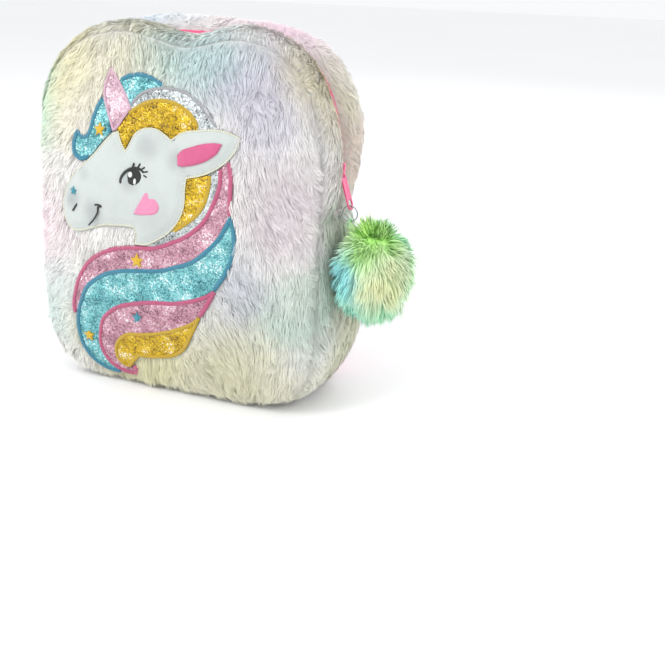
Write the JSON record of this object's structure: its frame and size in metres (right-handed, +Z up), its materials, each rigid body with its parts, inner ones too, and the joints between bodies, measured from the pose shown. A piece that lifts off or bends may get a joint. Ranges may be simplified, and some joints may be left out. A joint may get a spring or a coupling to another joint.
{
  "type": "kids backpack",
  "caption": "Child's plush backpack with a unicorn picture in glitter patches, pink zip with a pompom pull, furry padded shoulder straps and a webbing handle.",
  "frame": {"origin": "centre of the flat bottom of the bag, on the surface it stands on", "axes": "+X to the right as seen from the front, the side the pompom hangs on; +Y to the back, where the shoulder straps are; +Z up"},
  "size_m": [0.3091, 0.1533, 0.2774],
  "materials": {
    "plush": "long soft faux fur in pale tie-dye yellow, mint, blue, lilac and pink",
    "zip_pink": "woven tape and coil",
    "pull_pink": "satin",
    "steel": "polished wire",
    "pompom_fur": "long faux fur in lime, mint and cyan",
    "clear_pink": "translucent",
    "webbing_pink": "woven webbing",
    "head_plush": "short white plush over padding",
    "glitter_pale_pink": "glitter cloth",
    "glitter_gold": "glitter cloth",
    "glitter_silver": "glitter cloth",
    "glitter_pink": "glitter cloth",
    "glitter_turquoise": "glitter cloth",
    "thread_yellow": "satin stitch",
    "thread_blue": "satin stitch",
    "thread_black": "satin stitch",
    "thread_pink": "satin stitch"
  },
  "bodies": {
    "bag": {"front_panel": "plush", "back_panel": "plush", "lower_gusset": "plush", "zip_strip_front": "plush", "zip_strip_rear": "plush", "zip_tape_front": "zip_pink", "zip_tape_rear": "zip_pink", "zip_chain": "zip_pink", "zip_slider": "pull_pink", "strap_left": "plush", "strap_tab_left": "webbing_pink", "tri_glide_left": "clear_pink", "webbing_left": "webbing_pink", "strap_right": "plush", "strap_tab_right": "webbing_pink", "tri_glide_right": "clear_pink", "webbing_right": "webbing_pink", "carry_handle": "webbing_pink", "horn": "glitter_pale_pink", "forelock_front": "glitter_turquoise", "forelock_top": "glitter_turquoise", "mane_silver_top": "glitter_silver", "mane_gold_top": "glitter_gold", "head": "head_plush", "mane_gold_low": "glitter_gold", "mane_silver_low": "glitter_silver", "mane_pink_top": "glitter_pink", "mane_turquoise": "glitter_turquoise", "mane_pink_low": "glitter_pink", "mane_gold_tip": "glitter_gold", "ear_inner": "thread_pink", "eye": "thread_black", "cheek_heart": "thread_pink", "nostril": "thread_black", "eyelid": "thread_black", "mouth": "thread_black", "star_forelock": "thread_yellow", "star_pink": "thread_yellow", "star_blue": "thread_blue", "star_turquoise": "thread_yellow", "star_nose": "thread_blue"},
    "pull": {"pull_tab": "pull_pink", "split_ring": "steel", "pompom": "pompom_fur"}
  },
  "joints": [
    {"name": "pull_swing", "type": "hinge", "parent": "bag", "child": "pull", "pos_m": [0.11776, 0, 0.17659], "axis": [0, -1, 0], "range_deg": [0, 120]}
  ]
}
